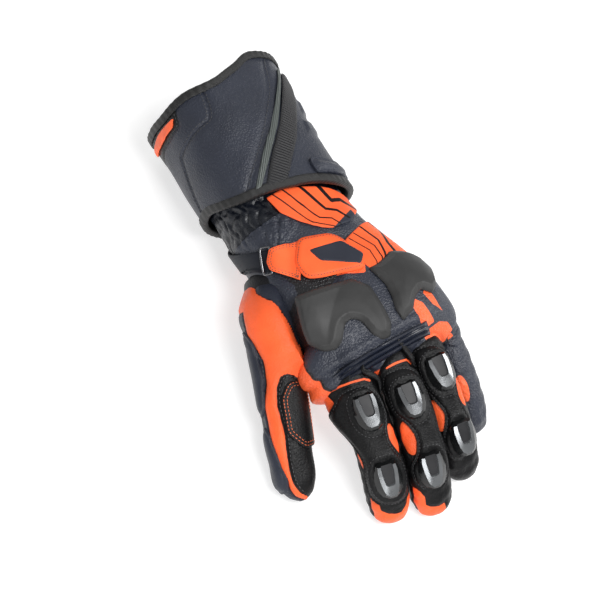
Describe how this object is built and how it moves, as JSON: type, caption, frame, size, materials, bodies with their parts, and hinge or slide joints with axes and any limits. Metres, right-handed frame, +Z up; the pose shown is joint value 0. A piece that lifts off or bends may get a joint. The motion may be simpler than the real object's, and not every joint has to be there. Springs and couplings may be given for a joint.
{
  "type": "motorcycle gauntlet",
  "caption": "Long-cuff leather riding glove for the left hand, with moulded knuckle guards, hard finger sliders, a gathered wrist with a ring strap, and a wide bound cuff.",
  "frame": {"origin": "middle of the bounding box's floor, on the surface that the glove lies on", "axes": "+Z up, +Y from the fingertips to the open end of the cuff, thumb towards -X, back of the hand up"},
  "size_m": [0.1622, 0.3262, 0.0919],
  "materials": {
    "navy_leather": "satin pebbled grain",
    "black_leather": "satin fine grain",
    "orange_leather": "satin smooth",
    "gathered_leather": "satin crinkled",
    "cuff_leather": "satin pebbled grain",
    "striped_leather": "satin, printed with plain black stripes",
    "strap_leather": "satin",
    "inlay_leather": "matte",
    "binding": "woven edge tape",
    "ribbed_fabric": "fine ribs",
    "reflective_fabric": "ribbed, slightly silvery",
    "tag_rubber": "matte moulded",
    "guard_rubber": "matte moulded",
    "slider_plastic": "gloss with polished facets",
    "ring_steel": "dark nickel wire"
  },
  "bodies": {
    "root": {"hand_shell": "navy_leather", "index_stall": "black_leather", "middle_stall": "black_leather", "ring_stall": "black_leather", "little_stall": "black_leather", "thumb_stall": "orange_leather", "wrist_sleeve": "gathered_leather", "gauntlet_cuff": "cuff_leather", "rim_binding": "binding", "skirt_binding": "binding", "reflective_strip": "reflective_fabric", "ribbed_band": "ribbed_fabric", "cuff_side_pad": "navy_leather", "cuff_tag": "tag_rubber", "inner_knuckle_guard": "guard_rubber", "outer_knuckle_guard": "guard_rubber", "stretch_panel": "navy_leather", "wrist_pad": "orange_leather", "wrist_pad_inlay": "inlay_leather", "striped_panel": "striped_leather", "wrist_strap": "strap_leather", "strap_ring": "ring_steel", "ring_tab": "orange_leather", "index_back_pad": "black_leather", "index_knuckle_slider": "slider_plastic", "index_joint_slider": "slider_plastic", "middle_back_pad": "black_leather", "middle_knuckle_slider": "slider_plastic", "middle_joint_slider": "slider_plastic", "ring_back_pad": "black_leather", "ring_knuckle_slider": "slider_plastic", "ring_joint_slider": "slider_plastic", "thumb_root_pad": "navy_leather", "thumb_tip_pad": "navy_leather", "thumb_patch": "black_leather"}
  },
  "joints": []
}
